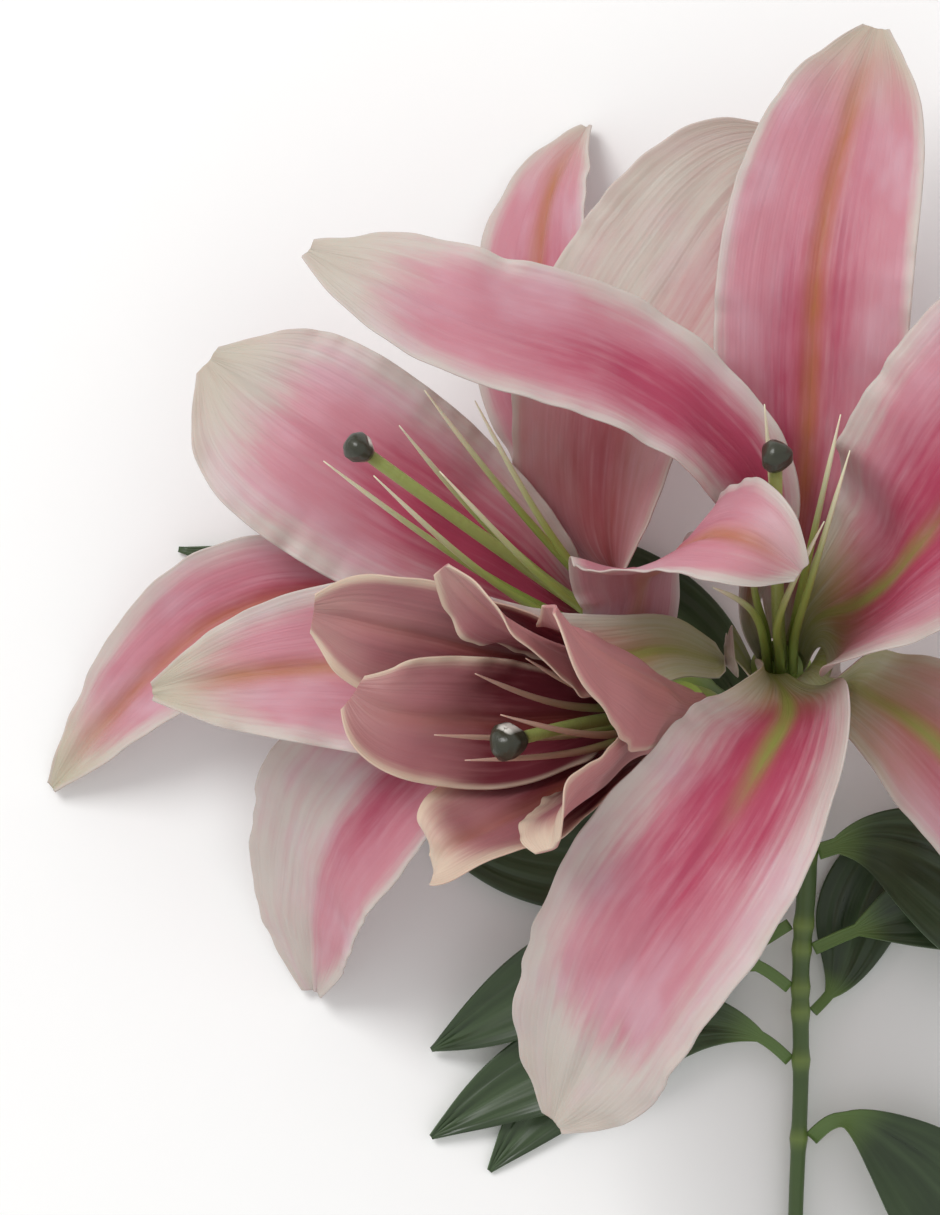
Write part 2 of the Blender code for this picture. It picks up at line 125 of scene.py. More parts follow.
# Share of the full width at shares of the length.
PETAL_OUTLINES = {
    "inner": (
        (0, 0.16), (0.12, 0.24), (0.28, 0.56), (0.45, 0.88), (0.6, 1), (0.78, 0.86), (0.92, 0.5), (1, 0.12),
    ),
    "outer": (
        (0, 0.16), (0.12, 0.22), (0.28, 0.46), (0.45, 0.8), (0.6, 1), (0.78, 0.84), (0.92, 0.46), (1, 0.1),
    ),
    "broad": (
        (0, 0.17), (0.12, 0.34), (0.25, 0.66), (0.4, 0.92), (0.6, 1), (0.78, 0.88), (0.92, 0.54), (1, 0.14),
    ),
    "blunt": (
        (0, 0.16), (0.12, 0.24), (0.28, 0.56), (0.45, 0.86), (0.65, 1), (0.78, 0.97), (0.9, 0.72),
        (1, 0.16),
    ),
    "eared": (
        (0, 0.16), (0.12, 0.28), (0.2, 0.62), (0.28, 0.8), (0.42, 0.88), (0.6, 1), (0.78, 0.9),
        (0.92, 0.56), (1, 0.14),
    ),
    "lobed": (
        (0, 0.16), (0.12, 0.24), (0.28, 0.56), (0.45, 0.86), (0.62, 1), (0.8, 0.94), (0.92, 0.7), (1, 0.3),
    ),
}


class Petal(NamedTuple):
    """One petal's shape. clock is where it stands round its flower's axis, in degrees clockwise from the top.
    ruffle is the height of the waves in its edge. midrib lists the points that its middle line passes through
    beyond its neck. arc and twist are in degrees, at ARC_SHARES and TWIST_SHARES after the first. waves is
    how many waves there are along each edge."""

    flower: str
    ring: str
    outline: str
    clock: float
    width: float
    ruffle: float
    midrib: tuple
    arc: tuple = (38, 55, 40, 30)
    twist: tuple = (0, 0, 0)
    waves: float = 2


PETALS = {
    "right_petal_lower": Petal(
        "right", "inner", "eared", 192, 46, 2,
        (
            (-4, 246, 55), (-7, 237, 74), (-13, 227, 86), (-23, 212, 91), (-35, 194, 86), (-43, 177, 72),
            (-50, 161, 56),
        ),
        (110, 110, 50, 20), waves=2.5,
    ),
    "right_petal_upper_right": Petal(
        "right", "inner", "eared", 60, 57, 2,
        ((9, 264, 52), (18, 271, 68), (28, 285, 82), (42, 303, 88), (56, 318, 82), (71, 331, 70)),
        (70, 110, 60, 30), (-3, -3, 0),
    ),
    "right_petal_upper_left": Petal(
        "right", "inner", "blunt", 310, 29, 1,
        ((-8, 280, 54), (-19, 299, 73), (-41, 313, 82), (-64, 320, 85), (-82, 328, 82), (-99, 335, 73)),
        (70, 70, 40, 20),
    ),
    "right_petal_top": Petal(
        "right", "outer", "broad", 10, 40, 0.8,
        ((-2, 270, 42), (0, 286, 50), (1, 309, 58), (3, 336, 60), (8, 358, 51), (15, 381, 38)),
    ),
    "right_petal_lower_right": Petal(
        "right", "outer", "broad", 124, 38, 0.8,
        ((12, 247, 50), (20, 242, 53), (35, 228, 49), (51, 214, 29), (67, 204, 2.5)),
    ),
    "right_petal_left": Petal(
        "right", "outer", "outer", 262, 36, 0.8,
        (
            (-15, 253, 39), (-24, 255, 43), (-35, 254, 47), (-62, 250, 54), (-87, 252, 54), (-109, 251, 50),
            (-131, 247, 41),
        ),
        (38, 50, 30, 20), (-10, -25, -20),
    ),
    "left_petal_left": Petal(
        "left", "inner", "blunt", 298, 44, 1.5,
        ((-46, 264, 26), (-58, 272, 33), (-73, 281, 39), (-93, 294, 42), (-109, 305, 38), (-120, 314, 31)),
        (64, 80, 30, 20),
    ),
    "left_petal_upper_right": Petal(
        "left", "inner", "eared", 55, 47, 1.5,
        ((-37, 271, 35), (-40, 287, 40), (-36, 311, 43), (-24, 333, 42), (-12, 349, 38), (0, 358, 34)),
        (64, 70, 50, 30), (0, 20, 30),
    ),
    "left_petal_lower": Petal(
        "left", "inner", "inner", 195, 40, 1,
        ((-46, 255, 33), (-58, 247, 36), (-74, 238, 38), (-90, 224, 34), (-98, 208, 20), (-99, 185, 3)),
        (64, 80, 50, 30), (0, -25, -25),
    ),
    "left_petal_top": Petal(
        "left", "outer", "outer", 348, 32, 0.8,
        ((-41, 272, 24), (-47, 290, 21), (-52, 310, 20), (-53, 333, 17), (-50, 351, 10), (-43, 363, 2)),
    ),
    "left_petal_front": Petal(
        "left", "outer", "broad", 130, 33, 0.8,
        ((-33, 267, 46), (-30, 272, 70), (-20, 278, 88), (-11.5, 277, 95), (-2, 271, 93)),
        (38, 50, 50, 30), (-45, -60, 0),
    ),
    "left_petal_lower_left": Petal(
        "left", "outer", "outer", 248, 28, 0.8,
        ((-50, 259, 25), (-63, 262, 25), (-86, 266, 28), (-110, 265, 26), (-132, 251, 15), (-153, 227, 2)),
        twist=(0, -25, -20),
    ),
    "middle_petal_left": Petal(
        "middle", "inner", "lobed", 265, 28, 1,
        ((-43, 242, 62), (-58, 241, 71), (-74, 242, 81), (-85, 244, 84), (-90, 247, 83)),
        (80, 110, 80, 50),
    ),
    "middle_petal_upper_left": Petal(
        "middle", "outer", "lobed", 318, 30, 0.5,
        ((-43, 251, 63), (-58, 254, 71), (-76, 258, 78), (-89, 261, 80), (-98, 263, 79)),
        (45, 70, 60, 30),
    ),
    "middle_petal_top": Petal(
        "middle", "inner", "lobed", 25, 26, 0.5,
        ((-35, 250, 69), (-47, 255, 83), (-58, 259, 93), (-67, 267, 97), (-72, 272, 98)),
        (80, 110, 90, 50), (-15, -18, -10),
    ),
    "middle_petal_lower": Petal(
        "middle", "outer", "lobed", 205, 28, 1,
        ((-40, 232, 64), (-54, 225, 75), (-65, 220, 84), (-72, 216, 88), (-74, 212, 85)),
        (45, 80, 70, 40),
    ),
    "middle_petal_right": Petal(
        "middle", "outer", "lobed", 75, 31, 0.5,
        ((-27, 246, 73), (-34, 250, 89), (-41, 254, 100), (-47, 258, 107), (-51, 264, 110)),
        (45, 95, 95, 50),
    ),
    "middle_petal_lower_right": Petal(
        "middle", "inner", "lobed", 140, 27, 1,
        ((-33, 236, 70), (-41, 230, 86), (-47, 226, 95), (-51, 221, 101), (-51, 217, 103)),
        (80, 110, 80, 50),
    ),
}

# The point that each pistil and each filament ends at. Filaments start 60 degrees apart, from the top.
PISTIL_TIPS = {"right": (-7, 296, 95), "left": (-91, 297, 82), "middle": (-62, 237, 98)}
STIGMA_RADIUS = {"right": 3.4, "left": 3.2, "middle": 4.0}
# The stigma's radius at shares of its own length.
STIGMA_OUTLINE = ((0.12, 0.66), (0.35, 0.95), (0.65, 0.95), (0.9, 0.6), (1, 0.2))
FILAMENT_TIPS = {
    "right": ((-9, 304, 88), (6, 302, 88), (8, 295, 84), (3, 281, 82), (-19, 268, 78), (-10, 281, 69)),
    "left": ((-76, 307, 78), (-66, 305, 74), (-73, 291, 74), (-86, 290, 84), (-96, 293, 77), (-81, 300, 78)),
    "middle": (
        (-56, 254, 88), (-46, 250, 90), (-61, 243, 100), (-68, 234, 94), (-74, 239, 96), (-66, 251, 92),
    ),
}
FILAMENT_SPACING = 60


class Leaf(NamedTuple):
    """A leaf's width, the share of its length that is stalk, its arc across in degrees and its midrib."""

    width: float
    stalk_share: float
    arc: float
    midrib: tuple


LEAVES = {
    "leaf_low_right": Leaf(
        26, 0.12, 60, ((3.3, 155, 4), (9, 159, 9), (19, 154, 10), (32, 141, 7), (43, 124, 3), (49, 106, 1)),
    ),
    "leaf_low_left": Leaf(
        20, 0.1, 40, (
            (-1.4, 171, 5), (-6, 175, 7), (-20, 179, 7), (-40, 174, 6), (-59, 165, 4), (-75, 155, 2),
        ),
    ),
    "leaf_mid_left": Leaf(
        20, 0.1, 40, (
            (-1.5, 186, 7), (-7, 190, 9), (-24, 193, 14), (-44, 190, 13), (-61, 181, 9), (-75, 173, 3),
        ),
    ),
    "leaf_under_left": Leaf(
        20, 0.1, 15, ((-1.4, 199, 7), (-9, 194, 4), (-28, 181, 2), (-46, 167, 2), (-63, 148, 1)),
    ),
    "leaf_mid_right": Leaf(
        22, 0.15, 50, (
            (3.6, 194, 8), (10, 197, 10), (21, 201, 12), (33, 204, 11), (52, 203, 7), (65, 198, 3),
        ),
    ),
    "leaf_under_right": Leaf(
        18, 0.1, 20, ((3.5, 181, 6), (8, 186, 3.5), (13, 201, 2), (19, 213, 2), (28, 224, 1.5)),
    ),
    "leaf_high_right": Leaf(
        28, 0.05, 40, (
            (4.4, 214, 11), (12, 216, 14), (25, 213, 19), (40, 203, 17), (54, 190, 9), (64, 176, 2),
        ),
    ),
    "leaf_high_left": Leaf(
        24, 0.05, 30, (
            (-1.8, 222, 10), (-12, 218, 6), (-32, 214, 4), (-53, 214, 4), (-69, 219, 3), (-80, 226, 2),
        ),
    ),
    "leaf_far_left": Leaf(
        20, 0.05, 15, (
            (-3, 229, 7), (-9, 243, 3.5), (-20, 259, 2), (-40, 269, 2), (-71, 271, 2), (-102, 272, 2),
            (-127, 276, 1.5),
        ),
    ),
}

PISTIL_RADIUS = 1.3
PISTIL_NECK = 25
LOBE_DEPTH = 0.1
FILAMENT_RING = 2.9
FILAMENT_RADIUS = 1.0
# A filament's radius at shares of its length, and how far it has leaned out at two heights up the flower.
FILAMENT_TAPER = ((0, FILAMENT_RADIUS), (0.5, FILAMENT_RADIUS * 0.8), (0.85, 0.5), (1, 0.12))
FILAMENT_LEAN = ((14, 0.6), (28, 2.5))
LEAF_STALK_WIDTH = 2.2
LEAF_OUTLINE = ((0, 0.12), (0.15, 0.55), (0.35, 0.95), (0.5, 1), (0.7, 0.8), (0.88, 0.4), (1, 0.04))


class Bloom(NamedTuple):
    """How a petal is coloured and folded. deep is how strong the deep pink along its middle is and edge the
    width of its pale margin in millimetres. reach is the shares of the length that the pink covers. groove is
    the strength of the green channel at its base and the share of the length it ends at. rib is the strength
    of the orange line along its middle, tip that of the green at its end. crease is how far, in millimetres,
    its margins stand above its middle fold. pale is how white the outer half stays on its right and on its
    left, seen from its face."""

    deep: float
    edge: float
    reach: tuple
    groove: tuple
    rib: float
    tip: float
    crease: float = 0.8
    pale: tuple = (0, 0)


# Shares of a petal's length between which a part of its relief or colour sets in or fades away.
RELIEF_START, RELIEF_END = (0.12, 0.4), (0.9, 1)
CORE_END = (0.42, 0.86)
WHITE_START = (0.42, 0.62)
RIB_START, RIB_END = (0.12, 0.3), (0.85, 0.98)
TIP_START = (0.8, 1.0)
RIM_START = (0.2, 0.35)
GROOVE_FADE = 0.28

# The share of its length where a petal starts to open out, and the share over which it does.
OPENING = (0.15, 0.3)

# Heights, widths and wavelengths of a petal's relief and markings, in millimetres.
FOLD_DEPTH, FOLD_WIDTH = 0.9, 1.3
SHOULDER_HEIGHT, SHOULDER_PLACE, SHOULDER_WIDTH = 0.3, 3, 1.2
SWELL_HEIGHT, SWELL_LENGTH = 0.35, 17
FRILL_LENGTH, SMALL_FRILL_LENGTH = 13, 6
GROOVE_WIDTH = 2.6
RIB_WIDTH = 2.1
RIM_WIDTH = {"right": 0.8, "left": 0.8, "middle": 1.3}
# The waves in a sheet's two edges are read this far to each side, so that they differ.
PETAL_EDGES_APART, LEAF_EDGES_APART = 40, 30
UNDULATION_WAVES = 5

# Heights, widths and wavelengths of a leaf's relief, in millimetres.
LEAF_FOLD_DEPTH, LEAF_FOLD_WIDTH = 0.55, 0.8
LEAF_VEIN_HEIGHT, LEAF_VEINS = 0.14, 5
LEAF_WAVE_HEIGHT, LEAF_WAVE_LENGTH = 0.45, 24
LEAF_RIB_WIDTH = 0.9

# The second colours of the mottled surfaces. The pale second colours of the petals and the trumpet are a
# painted sheen, and the stigma's white is a painted highlight.
PETAL_SHEEN, PETAL_OUTSIDE = "CFB8C2", "B9989A"
TRUMPET_SHEEN, TRUMPET_OUTSIDE, TRUMPET_GROOVE = "B08680", "BB7F80", "A67B3E"
LEAF_SHADE, STEM_SHADE = "2A3922", "3E5230"
FILAMENT_FLUSH = "B98A80"
STIGMA_SPOTS, STIGMA_HIGHLIGHT = "3B3C2C", "DAD8D0"
FLOOR_FIBRES = "E4E3E0"

# The floor and the main light, in metres and degrees, and the point below the camera, in millimetres.
FLOOR_HALF, FLOOR_DROP = 1.6, 0.0002
KEY_SIZE = 0.9
KEY_PLACE = (-0.9, 1.1, 1.7)
KEY_TILT = (-33, -28, 0)
CAMERA_AIM = (-67, 264)
SENSOR_HEIGHT = 36

# How much of the core's and the groove's colour shows on a petal's face and on its back.
CORE_SHARES = {"right": (1.0, 1.0), "left": (1.0, 1.0), "middle": (1.0, 0.25)}
GROOVE_SHARES = {"right": (1.0, 0.5), "left": (1.0, 0.5), "middle": (0.1, 0.9)}

BLOOMS = {
    "right_petal_lower": Bloom(1.0, 11.0, (0.14, 0.84), (1.0, 0.55), 0.0, 0.3),
    "right_petal_upper_right": Bloom(0.85, 7.5, (0.12, 1.0), (0.9, 0.6), 0.0, 0.1),
    "right_petal_upper_left": Bloom(1.0, 5.5, (0.1, 0.9), (0.6, 0.35), 0.0, 0.4, 1.5),
    "right_petal_top": Bloom(0.7, 2.8, (0.1, 1.0), (0.5, 0.3), 0.9, 0.6),
    "right_petal_lower_right": Bloom(0.6, 2.8, (0.25, 1.0), (0.9, 0.75), 0.9, 0.3),
    "right_petal_left": Bloom(0.6, 5.0, (0.28, 0.97), (0.9, 0.8), 0.9, 0.7, 1.0),
    "left_petal_left": Bloom(1.0, 9.0, (0.12, 0.87), (0.6, 0.3), 0.0, 0.5),
    "left_petal_upper_right": Bloom(0.75, 3.0, (0.05, 1.0), (0.3, 0.2), 0.0, 0.1, 1.2, (0.6, 1)),
    "left_petal_lower": Bloom(0.7, 3.5, (0.1, 1.0), (0.4, 0.3), 0.0, 0.1, 2.5, (1, 0)),
    "left_petal_top": Bloom(0.8, 2.8, (0.1, 1.02), (0.2, 0.3), 0.9, 0.4),
    "left_petal_front": Bloom(0.7, 2.5, (0.1, 1.05), (0.4, 0.3), 0.9, 0.2, 0.4),
    "left_petal_lower_left": Bloom(0.7, 4.0, (0.1, 0.97), (0.4, 0.3), 0.7, 0.8),
    "middle_petal_left": Bloom(1.0, 2.0, (-0.3, 1.3), (0.7, 0.5), 0.2, 0.2, 0.4),
    "middle_petal_upper_left": Bloom(0.9, 2.2, (-0.3, 1.3), (0.7, 0.5), 0.2, 0.2, 0.4),
    "middle_petal_top": Bloom(1.0, 2.2, (-0.3, 1.3), (0.7, 0.5), 0.2, 0.3, 0.4),
    "middle_petal_lower": Bloom(0.8, 6.0, (-0.3, 0.95), (0.7, 0.5), 0.3, 0.7, 0.4),
    "middle_petal_right": Bloom(1.0, 2.2, (-0.3, 1.3), (0.9, 0.85), 0.6, 0.2, 0.4),
    "middle_petal_lower_right": Bloom(0.8, 6.0, (-0.3, 0.95), (0.7, 0.5), 0.2, 0.7, 0.4),
}


def linear(hex_colour):
    """An sRGB hex colour as linear red, green and blue."""
    shares = np.array([int(hex_colour[i : i + 2], 16) for i in (0, 2, 4)]) / 255
    return tuple(np.where(shares <= 0.04045, shares / 12.92, ((shares + 0.055) / 1.055) ** 2.4))


def colour_property(name, thing, hex_colour):
    return bpy.props.FloatVectorProperty(
        name=name, description=f"Colour of {thing}", subtype="COLOR", min=0, max=1, default=linear(hex_colour)
    )


def length_property(name, description, millimetres):
    return bpy.props.FloatProperty(
        name=name, description=description, unit="LENGTH", min=0, precision=5, default=millimetres * MM
    )


def number_property(name, description, default):
    return bpy.props.FloatProperty(name=name, description=description, min=0, default=default)


class PetalSettings(bpy.types.PropertyGroup):
    thickness: length_property("Thickness", "Thickness of a petal along its middle", 0.9)
    edge_thickness: length_property("Edge thickness", "Thickness of a petal at its edge", 0.35)
    frill: length_property("Frill", "Height of the small waves in a petal's edge", 0.7)
    margin: colour_property("Margin", "an open petal's edge", "C1B7B0")
    pink: colour_property("Pink", "an open petal between its edge and its middle", "BD7E8A")
    deep_pink: colour_property("Deep pink", "the streaks along an open petal's middle", "A83F5A")
    groove: colour_property("Groove", "the channel at a petal's base", "8C9148")
    rib: colour_property("Rib", "the line along an outer petal's middle", "A9683A")
    tip: colour_property("Tip", "a petal's point", "B0A88A")
    trumpet_margin: colour_property("Trumpet margin", "the rim of the trumpet's lobes", "CBB6A2")
    trumpet_lobe: colour_property("Trumpet lobe", "the trumpet's lobes", "A0656A")
    trumpet_depth: colour_property("Trumpet depth", "the inside of the trumpet", "6E2833")


class StamenSettings(bpy.types.PropertyGroup):
    filament_green: colour_property("Filament", "a filament's lower part", "9CB058")
    filament_tip: colour_property("Filament tip", "a filament's point", "E6E2C6")
    stigma: colour_property("Stigma", "the knob on a pistil", "24251C")
    style: colour_property("Style", "the stalk below the knob", "9FAE62")


class GreenSettings(bpy.types.PropertyGroup):
    leaf_thickness: length_property("Leaf thickness", "Thickness of a leaf along its middle", 0.8)
    leaf: colour_property("Leaf", "a leaf's face", "384A2C")
    leaf_vein: colour_property("Leaf vein", "a leaf's veins", "46593A")
    leaf_back: colour_property("Leaf back", "a leaf's underside", "56704A")
    leaf_stalk: colour_property("Leaf stalk", "the short stalk under a leaf", "5F7A3E")
    stem: colour_property("Stem", "the stem", "4E6436")
    receptacle: colour_property("Receptacle", "the top of a stalk, where the petals join it", "93A850")


class StageSettings(bpy.types.PropertyGroup):
    floor: colour_property("Floor", "the floor", "FBFBFA")
    key_power: number_property("Key light", "Power of the main light", 22)
    sky: number_property("Sky", "Strength of the light from all round", 0.72)
    camera_height: length_property("Camera height", "Height of the camera above the floor", 2016)
    lens: number_property("Lens", "Focal length in millimetres", 290)


class LilySettings(bpy.types.PropertyGroup):
    petals: bpy.props.PointerProperty(type=PetalSettings)
    stamens: bpy.props.PointerProperty(type=StamenSettings)
    greens: bpy.props.PointerProperty(type=GreenSettings)
    stage: bpy.props.PointerProperty(type=StageSettings)


# The kinds of node that materials are made from: each one's type, the inputs that its values go to in order,
# its output and its settings. RISE is a soft step from 0 at its low value to 1 at its high value, STORED a
# number kept at a piece's points, and BUMP's last value is its depth.
KINDS = {
    "MIX": ("ShaderNodeMix", (0, 6, 7), 2, {"data_type": "RGBA"}),
    "RISE": ("ShaderNodeMapRange", (0, 1, 2), 0, {"interpolation_type": "SMOOTHSTEP"}),
    "STORED": ("ShaderNodeAttribute", (), "Fac", {}),
    "PLACE": ("ShaderNodeCombineXYZ", ("X", "Y", "Z"), 0, {}),
    "NOISE": ("ShaderNodeTexNoise", ("Scale", "Detail", "Vector"), 0, {}),
    "BUMP": ("ShaderNodeBump", ("Height", "Strength", "Distance"), 0, {}),
}
for math in ("ADD", "SUBTRACT", "MULTIPLY", "DIVIDE", "MULTIPLY_ADD"):
    KINDS[math] = ("ShaderNodeMath", (0, 1, 2), 0, {"operation": math})


def add_node(tree, kind, *values, **settings):
    """Adds a node with its settings, links or sets its inputs, and gives its result."""
    identifier, inputs, output, usual = KINDS[kind]
    node = tree.nodes.new(identifier)
    for name, value in {**usual, **settings}.items():
        setattr(node, name, value)
    for place, value in zip(inputs, values):
        socket = node.inputs[place]
        if isinstance(value, bpy.types.NodeSocket):
            tree.links.new(value, socket)
        else:
            socket.default_value = (*value, 1) if socket.type == "RGBA" else value
    return node.outputs[output]


def streaks(add, fields, length, width, detail, seed):
    """Noise drawn out along the piece: patches of about that length and width, in millimetres."""
    along = add("DIVIDE", fields["along"], length)
    across = add("DIVIDE", fields["across"], width)
    return add("NOISE", 1.0, detail, add("PLACE", along, across, seed))


def new_material(name, roughness, specular, *labels):
    """A material, its shader, a function that adds nodes to it, and the numbers it reads from the points."""
    material = bpy.data.materials.new(name)
    material.use_nodes = True
    shader = material.node_tree.nodes["Principled BSDF"]
    shader.inputs["Roughness"].default_value = roughness
    shader.inputs["Specular IOR Level"].default_value = specular
    add = partial(add_node, material.node_tree)
    return material, shader, add, {label: add("STORED", attribute_name=label) for label in labels}


def link(shader, **sockets):
    """Links each socket to the shader's input of that name, with _ for a space."""
    for name, socket in sockets.items():
        shader.id_data.links.new(socket, shader.inputs[name.replace("_", " ")])


def petal_material(name, seed, colours):
    """Fresh petal tissue: thin, soft and slightly translucent, with veins that gather at each end."""
    labels = ("along", "across", "blush", "core", "rib", "groove", "tip", "outside", "rim")
    material, shader, add, fields = new_material(name, 0.5, 0.35, *labels)
    shader.inputs["Subsurface Weight"].default_value = 0.18
    shader.inputs["Subsurface Radius"].default_value = (1.0, 0.45, 0.4)
    shader.inputs["Subsurface Scale"].default_value = 1.6 * MM
    # Pigment lies in strands along the veins, 1 to 3 mm apart, in short dashes and in clouds 20 mm long.
    strands = streaks(add, fields, length=30, width=1.7, detail=3, seed=seed)
    dashes = streaks(add, fields, length=9, width=2.6, detail=3, seed=seed + 3)
    clouds = streaks(add, fields, length=20, width=11, detail=2, seed=seed + 5)
    uneven = add("MULTIPLY_ADD", dashes, 0.4, add("MULTIPLY", clouds, 0.6))
    uneven = add("MULTIPLY_ADD", strands, 0.7, uneven)
    # uneven lies round 0.85, so a petal's pink is thinned or thickened by up to about a third.
    pink = add("ADD", fields["blush"], add("SUBTRACT", uneven, 0.85))
    colour = add("MIX", add("RISE", pink, -0.05, 0.95), colours["margin"], colours["pink"])
    # Pale patches scattered in clouds are a painted sheen, standing in for the highlights on the petals.
    painted_sheen = add("MULTIPLY", add("RISE", clouds, 0.42, 0.72), 0.35)
    colour = add("MIX", painted_sheen, colour, colours["painted_sheen"])
    core = add("MULTIPLY", fields["core"], add("MULTIPLY_ADD", uneven, 1.9, -0.6))
    colour = add("MIX", add("RISE", core, 0.02, 0.98), colour, colours["deep"])
    rib = add("MULTIPLY", fields["rib"], add("ADD", dashes, 0.3))
    colour = add("MIX", rib, colour, colours["rib"])
    groove = add("MULTIPLY", fields["groove"], add("MULTIPLY_ADD", clouds, 0.7, 0.5))
    grain = add("MULTIPLY_ADD", strands, colours["grain"], 1 - colours["grain"] / 2)
    groove = add("MULTIPLY", groove, grain)
    colour = add("MIX", add("RISE", groove, 0.0, 1.0), colour, colours["groove"])
    tip = add("MULTIPLY", fields["tip"], add("ADD", clouds, 0.35))
    colour = add("MIX", tip, colour, colours["tip"])
    # A petal's outside is a little whiter, as its skin is thicker there, and its very edge is paler still.
    outside = add("MULTIPLY", fields["outside"], colours["outside_share"])
    colour = add("MIX", outside, colour, colours["outside"])
    colour = add("MIX", fields["rim"], colour, colours["margin"])
    veins = streaks(add, fields, length=60, width=1.1, detail=1, seed=seed + 9)
    crumple = streaks(add, fields, length=5, width=3, detail=2, seed=seed + 13)
    relief = add("MULTIPLY_ADD", crumple, 0.6, veins)
    link(shader, Base_Color=colour, Normal=add("BUMP", relief, 0.45, 0.45 * MM))
    return material


def leaf_material(greens):
    """Waxy leaf: a dark satin face, clouded and parallel-veined, and a paler underside."""
    labels = ("along", "across", "rib", "outside", "stalk")
    material, shader, add, fields = new_material("waxy leaf", 0.42, 0.45, *labels)
    veins = add("RISE", streaks(add, fields, length=90, width=1.8, detail=1, seed=3), 0.35, 0.85)
    clouds = streaks(add, fields, length=18, width=7, detail=3, seed=7)
    colour = add("MIX", add("RISE", clouds, 0.3, 0.7), linear(LEAF_SHADE), greens.leaf)
    colour = add("MIX", add("MULTIPLY", veins, 0.5), colour, greens.leaf_vein)
    colour = add("MIX", add("MULTIPLY", fields["rib"], 0.7), colour, greens.leaf_vein)
    colour = add("MIX", fields["outside"], colour, greens.leaf_back)
    colour = add("MIX", fields["stalk"], colour, greens.leaf_stalk)
    link(shader, Roughness=add("RISE", clouds, -0.6, 2.0))
    relief = add("MULTIPLY_ADD", clouds, 0.5, veins)
    link(shader, Base_Color=colour, Normal=add("BUMP", relief, 0.35, 0.3 * MM))
    return material


def stem_material(greens):
    """Green stem skin: smooth, finely ribbed along its length, paler at leaves and flowers."""
    material, shader, add, fields = new_material("green stem skin", 0.4, 0.45, "along", "across", "pale")
    ribs = streaks(add, fields, length=30, width=0.7, detail=2, seed=1)
    clouds = streaks(add, fields, length=9, width=5, detail=3, seed=4)
    colour = add("MIX", ribs, linear(STEM_SHADE), greens.stem)
    colour = add("MIX", add("MULTIPLY", clouds, 0.35), colour, greens.leaf_stalk)
    colour = add("MIX", fields["pale"], colour, greens.receptacle)
    link(shader, Base_Color=colour, Normal=add("BUMP", ribs, 0.4, 0.25 * MM))
    return material


def filament_material(stamens):
    """Filament: smooth, fleshy and translucent, green below and cream at its point."""
    labels = ("along", "across", "share", "flushed")
    material, shader, add, fields = new_material("fleshy filament", 0.4, 0.45, *labels)
    shader.inputs["Subsurface Weight"].default_value = 0.15
    shader.inputs["Subsurface Scale"].default_value = 0.8 * MM
    grain = streaks(add, fields, length=12, width=0.5, detail=2, seed=2)
    ends = add("RISE", add("MULTIPLY_ADD", grain, 0.2, fields["share"]), 0.6, 1.1)
    colour = add("MIX", ends, stamens.filament_green, stamens.filament_tip)
    colour = add("MIX", fields["flushed"], colour, linear(FILAMENT_FLUSH))
    link(shader, Base_Color=colour, Normal=add("BUMP", grain, 0.25, 0.15 * MM))
    return material


def pistil_material(stamens):
    """Pistil: a smooth green style and a dark, sticky, finely bumpy stigma with a painted highlight on one
    side.
    """
    labels = ("along", "across", "knob", "painted_highlight")
    material, shader, add, fields = new_material("style and stigma", 0.3, 0.5, *labels)
    spots = streaks(add, fields, length=1.4, width=1.1, detail=3, seed=6)
    colour = add("MIX", spots, linear(STIGMA_SPOTS), stamens.stigma)
    # A white spot on one side of the stigma is a painted highlight.
    painted_highlight = add("MULTIPLY", fields["painted_highlight"], add("RISE", spots, 0.3, 0.42))
    colour = add("MIX", painted_highlight, colour, linear(STIGMA_HIGHLIGHT))
    colour = add("MIX", fields["knob"], stamens.style, colour)
    link(shader, Base_Color=colour, Normal=add("BUMP", spots, 0.5, 0.4 * MM))
    return material


def unit(vector):
    """The vector at length 1, for one vector or for each row of them."""
    vector = np.asarray(vector, float)
    return vector / np.linalg.norm(vector, axis=-1, keepdims=True)


def spline(knots, values, at):
    """A natural cubic spline through values at knots, read at each place in at."""
    knots = np.asarray(knots, float)
    values = np.asarray(values, float).reshape(len(knots), -1)
    steps = np.diff(knots)
    slopes = np.diff(values, axis=0) / steps[:, None]
    count = len(knots)
    system = np.eye(count)
    right = np.zeros_like(values)
    for i in range(1, count - 1):
        system[i, i - 1 : i + 2] = steps[i - 1], 2 * (steps[i - 1] + steps[i]), steps[i]
        right[i] = 6 * (slopes[i] - slopes[i - 1])
    bends = np.linalg.solve(system, right)
    at = np.asarray(at, float)
    span = np.clip(np.searchsorted(knots, at, side="right") - 1, 0, count - 2)
    step = steps[span][:, None]
    before = (at - knots[span])[:, None]
    after = step - before
    curve = (bends[span] * after**3 + bends[span + 1] * before**3) / (6 * step)
    curve += (values[span] / step - bends[span] * step / 6) * after
    curve += (values[span + 1] / step - bends[span + 1] * step / 6) * before
    return curve


def distances(points):
    """How far along a line of points each of them is."""
    steps = np.linalg.norm(np.diff(points, axis=0), axis=1)
    return np.concatenate([[0], np.cumsum(steps)])


def line_through(points, shares):
    """Places on a smooth curve through the points, at shares of its length, and its direction at each."""
    points = np.asarray(points, float)
    knots = distances(points)
    fine = spline(knots, points, np.linspace(0, knots[-1], CURVE_POINTS))
    lengths = distances(fine)
    lengths /= lengths[-1]
    tangents = unit(np.gradient(fine, axis=0))
    places = np.stack([np.interp(shares, lengths, column) for column in fine.T], axis=-1)
    directions = np.stack([np.interp(shares, lengths, column) for column in tangents.T], axis=-1)
    return places, unit(directions)


